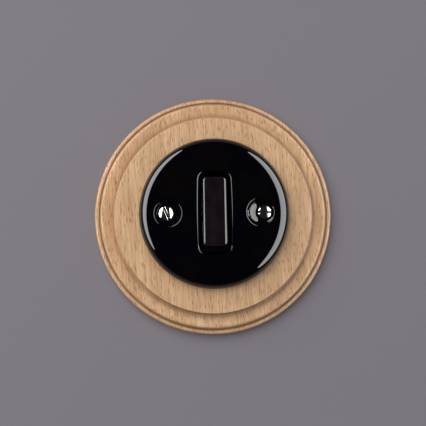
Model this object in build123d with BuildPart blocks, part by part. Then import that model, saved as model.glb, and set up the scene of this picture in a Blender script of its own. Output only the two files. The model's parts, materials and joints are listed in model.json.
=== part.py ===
from build123d import *
import os
from math import cos, radians, sin, sqrt, tan

# A round flush wall switch: a turned beech frame, a black glazed porcelain cover, a narrow
# rocker and, behind them, the two-way mechanism that the rocker works.
# Millimetres. X is to the right, Z is up, and the face looks along -Y.
# The wall is the plane y = 0. "Out" is a distance out of the wall, so y = -out.

os.makedirs("parts", exist_ok=True)

# Wooden frame, as radius and out
FRAME_R = 65.0
FRAME_OUT = 12.0
LEDGE_WIDTH = 3.0
LEDGE_OUT = 8.0
BACK_EDGE_CHAMFER = 0.4
BEAD_OUT = 5.2
BEAD_ROUND = 1.6
QUIRK_R = 62.6
QUIRK_WIDTH = 0.7
QUIRK_DEPTH = 0.9
CUSHION_CREST_INSET = 2.0
CUSHION_OUT = 7.6
COVE_WIDTH = 2.4
COVE_HEIGHT = 2.0
COVE_OUT = 7.0
STEP_R = 54.0
STEP_ROUND = 0.4

# Steel mounting ring, and the play that lets the frame hang a little low on it
RING_R = 35.0
RING_THICK = 1.2
FRAME_PLAY = 1.0
FRAME_DROP = 0.9
FRAME_SHIFT = -0.35
RING_OPENING_X = 18.0
RING_OPENING_Z = 28.0
RING_OPENING_ROUND = 2.0
BOX_SCREW_PITCH = 60.0
BOX_SCREW_HOLE_R = 2.1

# Porcelain cover
COVER_R = 41.0
COVER_HEIGHT = 13.0
COVER_WALL = 4.5
COVER_DOME_R = 190.0
COVER_SHOULDER_R = 7.5
COVER_INNER_ROUND = 3.5
COVER_RIM_ROUND = 0.6

# Slot in the cover, measured at the inner skin, its sloping walls and the lip rolled into it
SLOT_SIDE_GAP = 0.7
SLOT_END_GAP = 2.45
SLOT_CORNER_R = 3.1
SLOT_DRAFT = 24.0
SLOT_LIP_R = 1.5

# Cover screws in their dishes. The right-hand dish was pressed a little to the left of its hole.
LEFT_SCREW_X = -26.0
RIGHT_SCREW_X = 26.9
LEFT_DISH_X = -26.0
RIGHT_DISH_X = 25.3
LEFT_SEAT_DEPTH = 2.6
RIGHT_SEAT_DEPTH = 3.37
BOWL_R = 9.4
BOWL_MOUTH_R = 7.7
DISH_LIP_R = 0.8
HEAD_CLEAR = 0.25
BOSS_R = 7.5
BOSS_THICK = 3.9
SCREW_HEAD_R = 4.6
SCREW_HEAD_RIM = 0.5
SCREW_HEAD_DOME = 2.2
SCREW_SLOT_WIDTH = 1.0
SCREW_SLOT_DEPTH = 1.4
SCREW_R = 2.0
SCREW_LENGTH = 11.8
SCREW_HOLE_R = 2.3
LEFT_SLOT_ANGLE = -67.6
RIGHT_SLOT_ANGLE = 0.0

# Brass bushes that take the cover screws
BUSH_R = 3.4
BUSH_HEIGHT = 6.0
BUSH_SPIGOT_R = 2.6
BUSH_SPIGOT_PROUD = 0.5
THREAD_CLEAR = 0.05

# Rocker and the seesaw that carries it
ROCKER_X = 13.2
ROCKER_Z = 37.6
ROCKER_PROUD = 1.3
ROCKER_THICK = 5.8
ROCKER_CORNER_R = 2.4
ROCKER_EDGE_R = 2.0
ROCKER_TILT = 4.5
PIVOT_OUT = 17.0
TENON_X = 9.3
TENON_Z = 12.0
TENON_DEPTH = 3.0
TENON_CLEAR = 0.05
HUB_R = 3.1
HUB_LENGTH = 12.8
GUIDE_R = 4.0
GUIDE_REACH = 7.5
GUIDE_BORE_R = 2.38
GUIDE_BORE_TOP = 2.2
PIN_R = 1.5
PIN_INSET = 0.2
PIN_RUNNING_CLEAR = 0.05
PIN_FIXED_CLEAR = 0.02

# Sprung plunger in the seesaw
PLUNGER_R = 2.3
PLUNGER_TOP = 3.6
PLUNGER_WALL = 0.6
PLUNGER_NOSE_THICK = 2.4
PLUNGER_GAP = 0.12
SPRING_WIRE = 0.4
SPRING_TURNS = 6
SPRING_CLEAR = 0.15

# Moulded yoke with the two bearing cheeks
YOKE_X = 36.0
YOKE_Z = 34.0
YOKE_CORNER_R = 3.0
YOKE_THICK = 2.0
YOKE_SIDE_GAP = 0.6
YOKE_OPENING_Z = 24.0
CHEEK_THICK = 3.0
CHEEK_R = 2.7
YOKE_SCREW_X = 14.0
YOKE_SCREW_Z = 13.0
YOKE_SCREW_R = 1.2
YOKE_SCREW_HEAD_R = 2.2
YOKE_SCREW_HEAD = 1.4
YOKE_SCREW_LENGTH = 12.0
YOKE_SCREW_SLOT = 0.6
YOKE_SCREW_CLEAR = 0.05

# Moulded base, its contact chamber and its terminal pockets
BASE_SIDE = 40.0
BASE_CORNER_R = 3.0
BASE_BEHIND = 13.0
BASE_EDGE = 0.5
CHAMBER_SIDE_GAP = 0.1
CHAMBER_END_GAP = 3.5
CHAMBER_FLOOR_OUT = 0.4
CHAMBER_FLOOR_THICK = 2.4

# Contact lever: a seesaw on two trunnions
FULCRUM_OUT = 4.4
LEVER_X = 5.6
LEVER_Z = 22.0
LEVER_THICK = 1.2
LEVER_TILT = 7.2
TRUNNION_R = 0.6
TRUNNION_LENGTH = 8.0
TIP_REACH = 9.5
TIP_R = 1.5
TIP_MARGIN = 0.1
TIP_RIM = 0.5
TIP_DOME = 0.4
TIP_GAP = 0.08

# Brass contact strips
STRIP_THICK = 0.8
STRIP_X = 6.0
STRIP_PAST_TIP = 2.0
LEG_REACH = 10.0
LEG_CLEAR = 0.1
EAR_THICK = 0.8
EAR_CLEAR = 0.5
EAR_HALF = 1.8
TRUNNION_CLEAR = 0.05

# Terminals: a clamp block, its screw and the hole for the wire
CLAMP_X = 7.2
CLAMP_DEEP = 7.5
CLAMP_FRONT = 2.2
CLAMP_REAR = 11.5
WIRE_R = 1.6
WIRE_INSET = 2.4
WIRE_DEPTH = 7.5
TERMINAL_SCREW_R = 1.5
TERMINAL_SCREW_OPEN = 0.3
TERMINAL_HEAD_R = 2.7
TERMINAL_HEAD = 2.0
TERMINAL_HEAD_GAP = 0.4
TERMINAL_SLOT = 0.8
POCKET_CLEAR = 0.4
ACCESS_CLEAR = 0.3

# Places that follow from the sizes above
RING_FRONT = LEDGE_OUT + RING_THICK
REBATE_R = RING_R + FRAME_PLAY
FRAME_BORE_R = REBATE_R - LEDGE_WIDTH
SLOT_X = ROCKER_X + 2 * SLOT_SIDE_GAP
SLOT_Z = ROCKER_Z + 2 * SLOT_END_GAP
SLOT_WIDENING = COVER_WALL * tan(radians(SLOT_DRAFT))
COVER_TOP = FRAME_OUT + COVER_HEIGHT
BOWL_OVER_MOUTH = sqrt(BOWL_R**2 - BOWL_MOUTH_R**2)
YOKE_FRONT = RING_FRONT + YOKE_THICK
YOKE_OPENING_X = HUB_LENGTH + 2 * YOKE_SIDE_GAP
PIN_LENGTH = YOKE_OPENING_X + 2 * (CHEEK_THICK - PIN_INSET)
FACE_REACH = COVER_TOP + ROCKER_PROUD - PIVOT_OUT
NOSE_REACH = PIVOT_OUT - FULCRUM_OUT - LEVER_THICK / 2 - PLUNGER_GAP
PLUNGER_BORE_R = PLUNGER_R - PLUNGER_WALL
STRIP_INNER = TIP_REACH - TIP_R - TIP_MARGIN
STRIP_OUTER = TIP_REACH + TIP_R + STRIP_PAST_TIP
STRIP_FRONT = CHAMBER_FLOOR_OUT + STRIP_THICK
LEG_OUTER = STRIP_INNER + STRIP_THICK
CHAMBER_X = 2 * (LEG_OUTER + CHAMBER_SIDE_GAP)
CHAMBER_Z = LEVER_Z + 2 * CHAMBER_END_GAP
CLAMP_OUTER = LEG_OUTER + CLAMP_DEEP
CLAMP_MIDDLE = -(CLAMP_FRONT + CLAMP_REAR) / 2
POCKET_INNER = STRIP_INNER - LEG_CLEAR
POCKET_OUTER = CLAMP_OUTER + 2 * POCKET_CLEAR
FULCRUM_TO_TIP = LEVER_THICK / 2 + TIP_RIM + TIP_DOME

# FRONT has x to the right, y up and z out of the wall.
FRONT = Plane(origin=(0, 0, 0), x_dir=(1, 0, 0), z_dir=(0, -1, 0))
SCREW_PLACES = [(LEFT_SCREW_X, 0), (RIGHT_SCREW_X, 0)]
YOKE_SCREW_PLACES = [
    (-YOKE_SCREW_X, YOKE_SCREW_Z),
    (YOKE_SCREW_X, YOKE_SCREW_Z),
    (-YOKE_SCREW_X, -YOKE_SCREW_Z),
    (YOKE_SCREW_X, -YOKE_SCREW_Z),
]
# Each terminal has a plane whose y points from the middle of the base to the terminal's side.
TERMINALS = {"upper": 0.0, "lower": 180.0, "common": 90.0}

# The seesaw's plane sits on the pivot. The top end is pressed in, so its face looks a little up.
tilt = radians(ROCKER_TILT)
SEESAW = Plane(origin=(0, -PIVOT_OUT, 0), x_dir=(1, 0, 0), z_dir=(0, -cos(tilt), sin(tilt)))
# The contact lever leans the other way, its lower end pressed in.
lean = radians(LEVER_TILT)
LEVER = Plane(origin=(0, -FULCRUM_OUT, 0), x_dir=(1, 0, 0), z_dir=(0, -cos(lean), -sin(lean)))


def dome_out(x):
    """How far out the face of the cover lies, at x to the right of its middle."""
    return COVER_TOP - COVER_DOME_R + sqrt(COVER_DOME_R**2 - x**2)


LEFT_SEAT_OUT = dome_out(LEFT_SCREW_X) - LEFT_SEAT_DEPTH
RIGHT_SEAT_OUT = dome_out(RIGHT_SCREW_X) - RIGHT_SEAT_DEPTH
# Each dish as the x of its screw, its own x, and the seat that the head rests on.
DISHES = [
    (LEFT_SCREW_X, LEFT_DISH_X, LEFT_SEAT_OUT),
    (RIGHT_SCREW_X, RIGHT_DISH_X, RIGHT_SEAT_OUT),
]


def write(piece, name):
    """Label a finished piece and write it to its own file."""
    piece.part.label = name
    export_step(piece.part, f"parts/{name}.step")


def turning_plane(centre):
    """A plane with x as the radius and y out of the wall, for a profile turned about its y axis."""
    return Plane(origin=centre, x_dir=(1, 0, 0), z_dir=(0, 0, -1))


def terminal_plane(angle):
    """A plane on the wall, turned so that its y axis points at a terminal's side of the base."""
    turn = radians(angle)
    return Plane(origin=(0, 0, 0), x_dir=(cos(turn), 0, sin(turn)), z_dir=FRONT.z_dir)


# Wooden frame: one turned profile. It hangs low by the play between its rebate and the ring.
frame_origin = (FRAME_SHIFT, 0, -FRAME_DROP)
quirk_outer = QUIRK_R + QUIRK_WIDTH / 2
quirk_inner = QUIRK_R - QUIRK_WIDTH / 2
quirk_out = BEAD_OUT - QUIRK_DEPTH
with BuildPart() as wooden_frame:
    with BuildSketch(turning_plane(frame_origin)):
        with BuildLine():
            Polyline(
                (quirk_outer, quirk_out),
                (quirk_outer, BEAD_OUT),
                (FRAME_R - BEAD_ROUND, BEAD_OUT),
            )
            RadiusArc((FRAME_R - BEAD_ROUND, BEAD_OUT), (FRAME_R, BEAD_OUT - BEAD_ROUND), BEAD_ROUND)
            Polyline(
                (FRAME_R, BEAD_OUT - BEAD_ROUND),
                (FRAME_R, BACK_EDGE_CHAMFER),
                (FRAME_R - BACK_EDGE_CHAMFER, 0),
                (FRAME_BORE_R, 0),
                (FRAME_BORE_R, LEDGE_OUT),
                (REBATE_R, LEDGE_OUT),
                (REBATE_R, FRAME_OUT),
                (STEP_R - STEP_ROUND, FRAME_OUT),
            )
            RadiusArc((STEP_R - STEP_ROUND, FRAME_OUT), (STEP_R, FRAME_OUT - STEP_ROUND), STEP_ROUND)
            Line((STEP_R, FRAME_OUT - STEP_ROUND), (STEP_R, COVE_OUT + COVE_HEIGHT))
            EllipticalCenterArc(
                (STEP_R + COVE_WIDTH, COVE_OUT + COVE_HEIGHT),
                COVE_WIDTH,
                COVE_HEIGHT,
                start_angle=180,
                arc_size=90,
            )
            Spline(
                (STEP_R + COVE_WIDTH, COVE_OUT),
                (quirk_inner - CUSHION_CREST_INSET, CUSHION_OUT),
                (quirk_inner, quirk_out),
                tangents=[(1, 0), (0, -1)],
            )
            Line((quirk_inner, quirk_out), (quirk_outer, quirk_out))
        make_face()
    revolve(axis=Axis(frame_origin, (0, 1, 0)))
write(wooden_frame, "wooden_frame")


# Mounting ring: a stamped disc that clamps the frame by its ledge
with BuildPart() as mounting_ring:
    with BuildSketch(FRONT.offset(LEDGE_OUT)):
        Circle(RING_R)
        RectangleRounded(RING_OPENING_X, RING_OPENING_Z, RING_OPENING_ROUND, mode=Mode.SUBTRACT)
        with GridLocations(1, BOX_SCREW_PITCH, 1, 2):
            Circle(BOX_SCREW_HOLE_R, mode=Mode.SUBTRACT)
        with Locations(SCREW_PLACES):
            Circle(BUSH_SPIGOT_R, mode=Mode.SUBTRACT)
        with Locations(YOKE_SCREW_PLACES):
            Circle(YOKE_SCREW_R + YOKE_SCREW_CLEAR, mode=Mode.SUBTRACT)
    extrude(amount=RING_THICK)
write(mounting_ring, "mounting_ring")


# Porcelain cover: a domed shell with bosses, then the slot and the dishes
def domed_disc(radius, top, dome_r, shoulder_r):
    """A disc that stands on the frame, its face part of a sphere and its shoulder rounded."""
    with BuildPart() as disc:
        with BuildSketch(FRONT.offset(FRAME_OUT)):
            Circle(radius)
        extrude(amount=top - FRAME_OUT)
        with Locations((0, dome_r - top, 0)):
            Sphere(dome_r, mode=Mode.INTERSECT)
        fillet(disc.edges().filter_by(GeomType.CIRCLE).sort_by(Axis.Y)[:1], shoulder_r)
    return disc


def dish_cutter(screw_x, dish_x, seat_out):
    """What is taken out for one screw: a bowl down to the seat, and room for the head."""
    with BuildPart() as cutter:
        with Locations((dish_x, -dome_out(dish_x) - BOWL_OVER_MOUTH, 0)):
            Sphere(BOWL_R)
        split(bisect_by=FRONT.offset(seat_out), keep=Keep.TOP)
        with BuildSketch(FRONT.offset(seat_out)):
            with Locations((screw_x, 0)):
                Circle(SCREW_HEAD_R + HEAD_CLEAR)
        extrude(amount=BOWL_R)
    return cutter


outside = domed_disc(COVER_R, COVER_TOP, COVER_DOME_R, COVER_SHOULDER_R)
inside = domed_disc(
    COVER_R - COVER_WALL, COVER_TOP - COVER_WALL, COVER_DOME_R - COVER_WALL, COVER_INNER_ROUND
)
dish_cutters = [dish_cutter(*dish) for dish in DISHES]
mouth_out = COVER_TOP - COVER_WALL
with BuildPart() as ceramic_cover:
    add(outside.part)
    fillet(ceramic_cover.edges().filter_by(GeomType.CIRCLE).sort_by(Axis.Y)[-1:], COVER_RIM_ROUND)
    add(inside.part, mode=Mode.SUBTRACT)
    for screw_x, dish_x, seat_out in DISHES:
        with BuildSketch(FRONT.offset(seat_out - BOSS_THICK)):
            with Locations((dish_x, 0)):
                Circle(BOSS_R)
        extrude(amount=BOSS_THICK)
    for cutter in dish_cutters:
        add(cutter.part, mode=Mode.SUBTRACT)
        mouths = ceramic_cover.edges(Select.LAST).filter_by(GeomType.CIRCLE)
        fillet(mouths.filter_by(lambda e: e.radius > BOWL_MOUTH_R - DISH_LIP_R), DISH_LIP_R)
    with BuildSketch(FRONT.offset(COVER_TOP)):
        with Locations(SCREW_PLACES):
            Circle(SCREW_HOLE_R)
    extrude(amount=-COVER_HEIGHT, mode=Mode.SUBTRACT)
    with BuildSketch(FRONT.offset(COVER_TOP)):
        RectangleRounded(
            SLOT_X + 2 * SLOT_WIDENING, SLOT_Z + 2 * SLOT_WIDENING, SLOT_CORNER_R + SLOT_WIDENING
        )
    extrude(amount=-2 * COVER_WALL, taper=SLOT_DRAFT, mode=Mode.SUBTRACT)
    slot_edges = ceramic_cover.edges(Select.LAST)
    fillet(slot_edges.filter_by(lambda e: e.bounding_box().max.Y < -mouth_out), SLOT_LIP_R)
write(ceramic_cover, "ceramic_cover")


# Cover screws and the bushes that they screw into
for side, place, seat_out, slot_angle in (
    ("left", LEFT_SCREW_X, LEFT_SEAT_OUT, LEFT_SLOT_ANGLE),
    ("right", RIGHT_SCREW_X, RIGHT_SEAT_OUT, RIGHT_SLOT_ANGLE),
):
    head_top = seat_out + SCREW_HEAD_RIM + SCREW_HEAD_DOME
    with BuildPart() as cover_screw:
        with BuildSketch(turning_plane((place, 0, 0))):
            with BuildLine():
                Polyline(
                    (0, head_top),
                    (0, seat_out - SCREW_LENGTH),
                    (SCREW_R, seat_out - SCREW_LENGTH),
                    (SCREW_R, seat_out),
                    (SCREW_HEAD_R, seat_out),
                    (SCREW_HEAD_R, seat_out + SCREW_HEAD_RIM),
                )
                dome_r = (SCREW_HEAD_R**2 + SCREW_HEAD_DOME**2) / (2 * SCREW_HEAD_DOME)
                RadiusArc((0, head_top), (SCREW_HEAD_R, seat_out + SCREW_HEAD_RIM), dome_r)
            make_face()
        revolve(axis=Axis((place, 0, 0), (0, 1, 0)))
        with BuildSketch(FRONT.offset(head_top)):
            with Locations(Location((place, 0, 0), (0, 0, slot_angle))):
                Rectangle(3 * SCREW_HEAD_R, SCREW_SLOT_WIDTH)
        extrude(amount=-SCREW_SLOT_DEPTH, mode=Mode.SUBTRACT)
    write(cover_screw, f"cover_screw_{side}")

    with BuildPart() as bush:
        with BuildSketch(FRONT.offset(RING_FRONT)):
            with Locations((place, 0)):
                Circle(BUSH_R)
        extrude(amount=BUSH_HEIGHT)
        with BuildSketch(FRONT.offset(RING_FRONT)):
            with Locations((place, 0)):
                Circle(BUSH_SPIGOT_R)
        extrude(amount=-RING_THICK - BUSH_SPIGOT_PROUD)
        with BuildSketch(FRONT.offset(RING_FRONT + BUSH_HEIGHT)):
            with Locations((place, 0)):
                Circle(SCREW_R + THREAD_CLEAR)
        extrude(amount=-BUSH_HEIGHT - RING_THICK - BUSH_SPIGOT_PROUD, mode=Mode.SUBTRACT)
    write(bush, f"bush_{side}")


# Rocker: a rounded bar with a socket underneath for the seesaw's tenon
with BuildPart() as rocker:
    with BuildSketch(SEESAW.offset(FACE_REACH - ROCKER_THICK)):
        RectangleRounded(ROCKER_X, ROCKER_Z, ROCKER_CORNER_R)
    extrude(amount=ROCKER_THICK)
    face_edges = rocker.faces().filter_by(GeomType.PLANE).sort_by(Axis(SEESAW.origin, SEESAW.z_dir))
    fillet(face_edges[-1].edges(), ROCKER_EDGE_R)
    with BuildSketch(SEESAW.offset(FACE_REACH - ROCKER_THICK)):
        Rectangle(TENON_X + 2 * TENON_CLEAR, TENON_Z + 2 * TENON_CLEAR)
    extrude(amount=TENON_DEPTH, mode=Mode.SUBTRACT)
write(rocker, "rocker")


# Seesaw: a hub on the pin, the tenon on its outer side and the plunger's guide on its inner side
SEESAW_SIDE = Plane(origin=SEESAW.origin, x_dir=SEESAW.y_dir, z_dir=(1, 0, 0))
with BuildPart() as rocker_carrier:
    with BuildSketch(SEESAW):
        Rectangle(TENON_X, TENON_Z)
    extrude(amount=FACE_REACH - ROCKER_THICK + TENON_DEPTH - TENON_CLEAR)
    with BuildSketch(SEESAW_SIDE):
        Circle(HUB_R)
    extrude(amount=HUB_LENGTH / 2, both=True)
    with BuildSketch(SEESAW):
        Circle(GUIDE_R)
    extrude(amount=-GUIDE_REACH)
    with BuildSketch(SEESAW.offset(-GUIDE_REACH)):
        Circle(GUIDE_BORE_R)
    extrude(amount=GUIDE_REACH - GUIDE_BORE_TOP, mode=Mode.SUBTRACT)
    with BuildSketch(SEESAW_SIDE):
        Circle(PIN_R + PIN_RUNNING_CLEAR)
    extrude(amount=HUB_LENGTH, both=True, mode=Mode.SUBTRACT)
write(rocker_carrier, "rocker_carrier")


# Plunger: a cup with a round nose, its spring inside
PLUNGER_SECTION = Plane(origin=SEESAW.origin, x_dir=(1, 0, 0), z_dir=-SEESAW.y_dir)
bore_end = NOSE_REACH - PLUNGER_NOSE_THICK
with BuildPart() as plunger:
    with BuildSketch(PLUNGER_SECTION):
        with BuildLine():
            Polyline(
                (0, -NOSE_REACH),
                (0, -bore_end),
                (PLUNGER_BORE_R, -bore_end),
                (PLUNGER_BORE_R, -PLUNGER_TOP),
                (PLUNGER_R, -PLUNGER_TOP),
                (PLUNGER_R, PLUNGER_R - NOSE_REACH),
            )
            RadiusArc((0, -NOSE_REACH), (PLUNGER_R, PLUNGER_R - NOSE_REACH), -PLUNGER_R)
        make_face()
    revolve(axis=Axis(SEESAW.origin, SEESAW.z_dir))
write(plunger, "plunger")

spring_r = PLUNGER_BORE_R - SPRING_WIRE / 2 - SPRING_CLEAR
spring_inner = bore_end - SPRING_WIRE / 2 - SPRING_CLEAR
spring_length = spring_inner - GUIDE_BORE_TOP - SPRING_WIRE / 2 - SPRING_CLEAR
with BuildPart() as plunger_spring:
    with BuildLine(SEESAW.offset(-spring_inner)) as coil:
        Helix(spring_length / SPRING_TURNS, spring_length, spring_r, direction=SEESAW.z_dir)
    with BuildSketch(Plane(origin=coil.line @ 0, z_dir=coil.line % 0)):
        Circle(SPRING_WIRE / 2)
    sweep(path=coil.line, is_frenet=True)
write(plunger_spring, "plunger_spring")


# Pivot pin, held in the yoke's cheeks
with BuildPart() as pivot_pin:
    with BuildSketch(SEESAW_SIDE):
        Circle(PIN_R)
    extrude(amount=PIN_LENGTH / 2, both=True)
write(pivot_pin, "pivot_pin")


# Yoke: a plate on the front of the ring with a cheek on each side of its opening
with BuildPart() as bearing_yoke:
    with BuildSketch(FRONT.offset(RING_FRONT)):
        RectangleRounded(YOKE_X, YOKE_Z, YOKE_CORNER_R)
        Rectangle(YOKE_OPENING_X, YOKE_OPENING_Z, mode=Mode.SUBTRACT)
        with Locations(YOKE_SCREW_PLACES):
            Circle(YOKE_SCREW_R + YOKE_SCREW_CLEAR, mode=Mode.SUBTRACT)
    extrude(amount=YOKE_THICK)
    for inner_face in (YOKE_OPENING_X / 2, -YOKE_OPENING_X / 2 - CHEEK_THICK):
        cheek_plane = Plane(origin=(inner_face, 0, 0), x_dir=(0, 0, 1), z_dir=(1, 0, 0))
        with BuildSketch(cheek_plane):
            with Locations((0, (YOKE_FRONT + PIVOT_OUT) / 2)):
                Rectangle(2 * CHEEK_R, PIVOT_OUT - YOKE_FRONT)
            with Locations((0, PIVOT_OUT)):
                Circle(CHEEK_R)
            with Locations((0, PIVOT_OUT)):
                Circle(PIN_R + PIN_FIXED_CLEAR, mode=Mode.SUBTRACT)
        extrude(amount=CHEEK_THICK)
write(bearing_yoke, "bearing_yoke")


# Base: a block behind the ring, with the contact chamber in front and three pockets behind
pocket_deep = POCKET_OUTER - POCKET_INNER
with BuildPart() as switch_base:
    with BuildSketch(FRONT.offset(-BASE_BEHIND)):
        RectangleRounded(BASE_SIDE, BASE_SIDE, BASE_CORNER_R)
    extrude(amount=BASE_BEHIND + LEDGE_OUT)
    chamfer(switch_base.faces().sort_by(Axis.Y)[-1].edges(), BASE_EDGE)
    with BuildSketch(FRONT.offset(LEDGE_OUT)):
        Rectangle(CHAMBER_X, CHAMBER_Z)
    extrude(amount=CHAMBER_FLOOR_OUT - LEDGE_OUT, mode=Mode.SUBTRACT)
    with BuildSketch(FRONT.offset(LEDGE_OUT)):
        with Locations(YOKE_SCREW_PLACES):
            Circle(YOKE_SCREW_R + YOKE_SCREW_CLEAR)
    extrude(amount=YOKE_FRONT - LEDGE_OUT - YOKE_SCREW_LENGTH, mode=Mode.SUBTRACT)
    for angle in TERMINALS.values():
        toward = terminal_plane(angle)
        with BuildSketch(toward.offset(-BASE_BEHIND)):
            with Locations((0, (POCKET_INNER + POCKET_OUTER) / 2)):
                Rectangle(CLAMP_X + 2 * POCKET_CLEAR, pocket_deep)
        extrude(amount=BASE_BEHIND + CHAMBER_FLOOR_OUT - CHAMBER_FLOOR_THICK, mode=Mode.SUBTRACT)
        with BuildSketch(toward.offset(CHAMBER_FLOOR_OUT)):
            with Locations((0, STRIP_INNER + STRIP_THICK / 2)):
                Rectangle(STRIP_X + 2 * LEG_CLEAR, STRIP_THICK + 2 * LEG_CLEAR)
        extrude(amount=-CHAMBER_FLOOR_THICK, mode=Mode.SUBTRACT)
        access = Plane(
            origin=toward.from_local_coords((0, POCKET_OUTER - POCKET_CLEAR, CLAMP_MIDDLE)),
            x_dir=toward.x_dir,
            z_dir=toward.y_dir,
        )
        with BuildSketch(access):
            Circle(TERMINAL_HEAD_R + ACCESS_CLEAR)
        extrude(amount=BASE_SIDE / 2, mode=Mode.SUBTRACT)
write(switch_base, "switch_base")


# Screws that hold the yoke, the ring and the base together
for number, place in enumerate(YOKE_SCREW_PLACES, start=1):
    with BuildPart() as yoke_screw:
        with BuildSketch(FRONT.offset(YOKE_FRONT)):
            with Locations(place):
                Circle(YOKE_SCREW_HEAD_R)
        extrude(amount=YOKE_SCREW_HEAD)
        with BuildSketch(FRONT.offset(YOKE_FRONT)):
            with Locations(place):
                Circle(YOKE_SCREW_R)
        extrude(amount=-YOKE_SCREW_LENGTH)
        with BuildSketch(FRONT.offset(YOKE_FRONT + YOKE_SCREW_HEAD)):
            with Locations(place):
                Rectangle(3 * YOKE_SCREW_HEAD_R, YOKE_SCREW_SLOT)
        extrude(amount=-YOKE_SCREW_HEAD / 2, mode=Mode.SUBTRACT)
    write(yoke_screw, f"yoke_screw_{number}")


# Contact lever, with a trunnion on each side and a silver tip under each end
with BuildPart() as contact_lever:
    with BuildSketch(LEVER.offset(-LEVER_THICK / 2)):
        RectangleRounded(LEVER_X, LEVER_Z, LEVER_X / 4)
    extrude(amount=LEVER_THICK)
    with BuildSketch(Plane(origin=LEVER.origin, x_dir=(0, 0, 1), z_dir=(1, 0, 0))):
        Circle(TRUNNION_R)
    extrude(amount=TRUNNION_LENGTH / 2, both=True)
write(contact_lever, "contact_lever")

tip_dome_r = (TIP_R**2 + TIP_DOME**2) / (2 * TIP_DOME)
for end, direction in (("upper", 1), ("lower", -1)):
    tip_origin = LEVER.from_local_coords((0, direction * TIP_REACH, 0))
    with BuildPart() as moving_tip:
        with BuildSketch(Plane(origin=tip_origin, x_dir=(1, 0, 0), z_dir=-LEVER.y_dir)):
            with BuildLine():
                Polyline(
                    (0, -FULCRUM_TO_TIP),
                    (0, -LEVER_THICK / 2),
                    (TIP_R, -LEVER_THICK / 2),
                    (TIP_R, TIP_DOME - FULCRUM_TO_TIP),
                )
                RadiusArc((0, -FULCRUM_TO_TIP), (TIP_R, TIP_DOME - FULCRUM_TO_TIP), -tip_dome_r)
            make_face()
        revolve(axis=Axis(tip_origin, LEVER.z_dir))
    write(moving_tip, f"moving_tip_{end}")


# Fixed contacts: a strip with a silver tip on the chamber's floor, and a leg down into the pocket
dome_centre_behind = FULCRUM_TO_TIP - tip_dome_r
tip_low_out = FULCRUM_OUT - dome_centre_behind * cos(lean) - TIP_REACH * sin(lean) - tip_dome_r
fixed_tip_thick = tip_low_out - TIP_GAP - STRIP_FRONT
for end in ("upper", "lower"):
    toward = terminal_plane(TERMINALS[end])
    with BuildPart() as fixed_contact:
        with BuildSketch(toward.offset(CHAMBER_FLOOR_OUT)):
            with Locations((0, (STRIP_INNER + STRIP_OUTER) / 2)):
                Rectangle(STRIP_X, STRIP_OUTER - STRIP_INNER)
        extrude(amount=STRIP_THICK)
        with BuildSketch(toward.offset(CHAMBER_FLOOR_OUT)):
            with Locations((0, STRIP_INNER + STRIP_THICK / 2)):
                Rectangle(STRIP_X, STRIP_THICK)
        extrude(amount=-LEG_REACH)
    write(fixed_contact, f"fixed_contact_{end}")

    with BuildPart() as fixed_tip:
        with BuildSketch(toward.offset(STRIP_FRONT)):
            with Locations((0, TIP_REACH)):
                Circle(TIP_R)
        extrude(amount=fixed_tip_thick)
    write(fixed_tip, f"fixed_tip_{end}")


# Common contact: a plate with two ears that carry the lever's trunnions, and a leg like the others
ear_inner = LEVER_X / 2 + EAR_CLEAR
ear_outer = ear_inner + EAR_THICK
toward = terminal_plane(TERMINALS["common"])
with BuildPart() as common_contact:
    with BuildSketch(toward.offset(CHAMBER_FLOOR_OUT)):
        with Locations((0, (LEG_OUTER - ear_outer) / 2)):
            Rectangle(STRIP_X, LEG_OUTER + ear_outer)
    extrude(amount=STRIP_THICK)
    with BuildSketch(toward.offset(CHAMBER_FLOOR_OUT)):
        with Locations((0, STRIP_INNER + STRIP_THICK / 2)):
            Rectangle(STRIP_X, STRIP_THICK)
    extrude(amount=-LEG_REACH)
    for inner_face in (ear_inner, -ear_outer):
        ear_plane = Plane(origin=(inner_face, 0, 0), x_dir=(0, 0, 1), z_dir=(1, 0, 0))
        with BuildSketch(ear_plane):
            with Locations((0, (CHAMBER_FLOOR_OUT + FULCRUM_OUT) / 2)):
                Rectangle(2 * EAR_HALF, FULCRUM_OUT - CHAMBER_FLOOR_OUT)
            with Locations((0, FULCRUM_OUT)):
                Circle(EAR_HALF)
            with Locations((0, FULCRUM_OUT)):
                Circle(TRUNNION_R + TRUNNION_CLEAR, mode=Mode.SUBTRACT)
        extrude(amount=EAR_THICK)
write(common_contact, "common_contact")


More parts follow.
